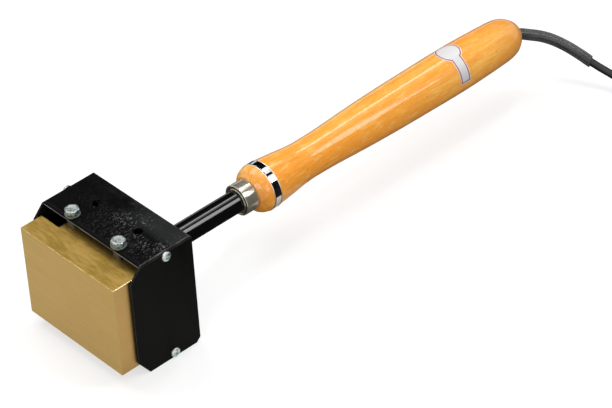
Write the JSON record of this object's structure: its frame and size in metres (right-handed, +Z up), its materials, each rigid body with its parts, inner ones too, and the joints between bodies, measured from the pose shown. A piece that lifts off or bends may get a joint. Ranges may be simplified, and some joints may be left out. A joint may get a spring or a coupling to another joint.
{
  "type": "electric branding iron",
  "caption": "Hand-held electric branding iron: a plain brass stamp block clamped in a black heating hood, on a steel stem with a turned wooden handle and a mains lead.",
  "frame": {"origin": "centre of the stamp's working face", "axes": "+X to the right seen from behind the stamp's face along the handle, +Y back along the handle, +Z up"},
  "size_m": [0.1892, 0.6705, 0.1058],
  "materials": {
    "brass_stamp": "satin milled brass",
    "hood_paint": "semi-gloss black paint",
    "side_paint": "satin black paint",
    "zinc": "zinc-plated steel",
    "block_metal": "machined",
    "heater_steel": "stainless, heat tinted",
    "dark_steel": "black oxide",
    "insulation": "ceramic fibre board",
    "ceramic": "glazed ceramic",
    "stem_paint": "gloss black",
    "wire_glass": "glass-fibre sleeving",
    "wire_earth": "yellow and green insulation",
    "tin": "tinned copper",
    "nickel": "nickel plate",
    "chrome_band": "chrome plate",
    "beech": "lacquered",
    "sticker": "blank glossy paper",
    "brass_small": "turned",
    "core_pvc": "coloured core insulation",
    "cord_rubber": "matt rubber",
    "clear_pvc": "clear soft plastic",
    "tie_black": "woven strap",
    "plug_rubber": "moulded",
    "plug_metal": "nickel-plated brass"
  },
  "bodies": {
    "tool": {"hood_shell": "hood_paint", "side_plate_left": "side_paint", "side_plate_right": "side_paint", "side_screws": "zinc", "spacer_sleeves": "zinc", "heater_block": "block_metal", "cartridge_heater_left": "heater_steel", "cartridge_heater_right": "heater_steel", "heater_lock_screws": "dark_steel", "standoff_spacers": "heater_steel", "rear_bolts": "zinc", "rear_spring_washers": "zinc", "insulation_bottom": "insulation", "insulation_left": "insulation", "insulation_right": "insulation", "insulation_rear": "insulation", "wire_bush": "ceramic", "stem_flange": "stem_paint", "stem_tube": "stem_paint", "heater_leads_left": "wire_glass", "heater_leads_right": "wire_glass", "earth_wire": "wire_earth", "earth_lug": "tin", "earth_screw": "zinc", "ferrule": "nickel", "wood_handle": "beech", "stem_pins": "dark_steel", "handle_band": "chrome_band", "handle_label": "sticker", "terminal_block": "ceramic", "terminal_inserts": "brass_small", "terminal_screws": "brass_small", "cord_cores": "core_pvc", "inner_cord": "cord_rubber", "cord_grip": "cord_rubber", "clear_sleeve": "clear_pvc", "mains_cord": "cord_rubber", "cord_coil": "cord_rubber", "cord_tie": "tie_black", "cord_tail": "cord_rubber", "plug_strain_relief": "plug_rubber", "plug_body": "plug_rubber", "plug_pins": "plug_metal", "plug_earth_contacts": "plug_metal"},
    "die": {"die_block": "brass_stamp"},
    "washer_left": {"clamp_washer_left": "zinc"},
    "washer_right": {"clamp_washer_right": "zinc"},
    "screw_left": {"clamp_screw_left": "zinc"},
    "screw_right": {"clamp_screw_right": "zinc"}
  },
  "joints": [
    {"name": "die_slide", "type": "slide", "parent": "tool", "child": "die", "axis": [0, -1, 0], "range_m": [0, 0.03]},
    {"name": "clamp_left_lift", "type": "slide", "parent": "tool", "child": "washer_left", "axis": [0, 0, 1], "range_m": [0, 0.003]},
    {"name": "clamp_left_turn", "type": "hinge", "parent": "washer_left", "child": "screw_left", "pos_m": [-0.026, 0.029, 0.0517], "axis": [0, 0, 1], "range_deg": [0, 1082]},
    {"name": "clamp_right_lift", "type": "slide", "parent": "tool", "child": "washer_right", "axis": [0, 0, 1], "range_m": [0, 0.003]},
    {"name": "clamp_right_turn", "type": "hinge", "parent": "washer_right", "child": "screw_right", "pos_m": [0.026, 0.029, 0.0517], "axis": [0, 0, 1], "range_deg": [0, 1082]}
  ],
  "couplings": [
    {"joint": "clamp_left_turn", "follows": "clamp_left_lift", "rad_per_m": 6283.2},
    {"joint": "clamp_right_turn", "follows": "clamp_right_lift", "rad_per_m": 6283.2}
  ]
}
